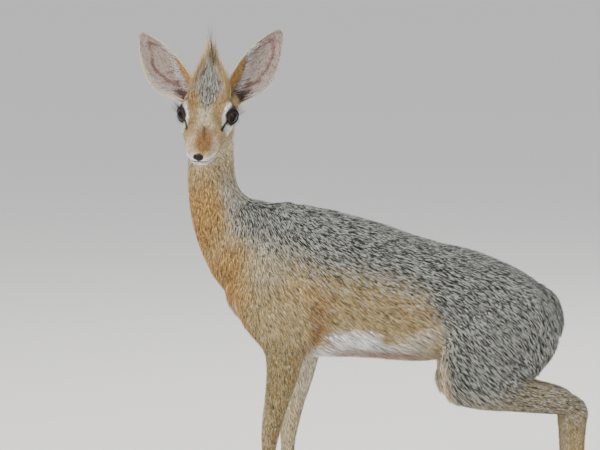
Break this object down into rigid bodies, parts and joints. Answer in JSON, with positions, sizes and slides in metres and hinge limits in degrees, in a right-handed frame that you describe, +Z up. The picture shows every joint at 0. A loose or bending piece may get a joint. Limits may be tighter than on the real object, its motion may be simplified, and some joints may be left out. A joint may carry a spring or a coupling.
{
  "type": "dik-dik",
  "caption": "Life-size female dik-dik with a crested crown and large cupped ears, standing on bent hind legs with its head turned to its left.",
  "frame": {"origin": "on the floor, under the middle of the animal's box", "axes": "+Z up; the trunk faces -X and its left side faces -Y; the head is turned to face -Y"},
  "size_m": [0.5277, 0.1735, 0.5872],
  "materials": {
    "coat": "short grizzled fur, grey on the back and haunch, tan on the neck, flank and legs, white below",
    "ear": "thin skin with short pale hair inside and tan hair outside",
    "eye": "wet gloss, near black with a dark brown rim",
    "horn": "dark grey-brown horn, satin"
  },
  "bodies": {
    "root": {"torso": "coat", "head": "coat", "neck": "coat", "tail": "coat", "foreleg_left_cannon": "coat", "foreleg_left_forearm": "coat", "hindleg_left_cannon": "coat", "hindleg_left_shank": "coat", "hindleg_left_thigh": "coat", "foreleg_right_cannon": "coat", "foreleg_right_forearm": "coat", "hindleg_right_cannon": "coat", "hindleg_right_shank": "coat", "hindleg_right_thigh": "coat", "ear_left": "ear", "ear_right": "ear", "eye_left": "eye", "eye_right": "eye", "hoof_front_left_outer": "horn", "hoof_front_left_inner": "horn", "hoof_front_right_outer": "horn", "hoof_front_right_inner": "horn", "hoof_hind_left_outer": "horn", "hoof_hind_left_inner": "horn", "hoof_hind_right_outer": "horn", "hoof_hind_right_inner": "horn", "dewclaw_front_left_outer": "horn", "dewclaw_front_left_inner": "horn", "dewclaw_front_right_outer": "horn", "dewclaw_front_right_inner": "horn", "dewclaw_hind_left_outer": "horn", "dewclaw_hind_left_inner": "horn", "dewclaw_hind_right_outer": "horn", "dewclaw_hind_right_inner": "horn"}
  },
  "joints": []
}
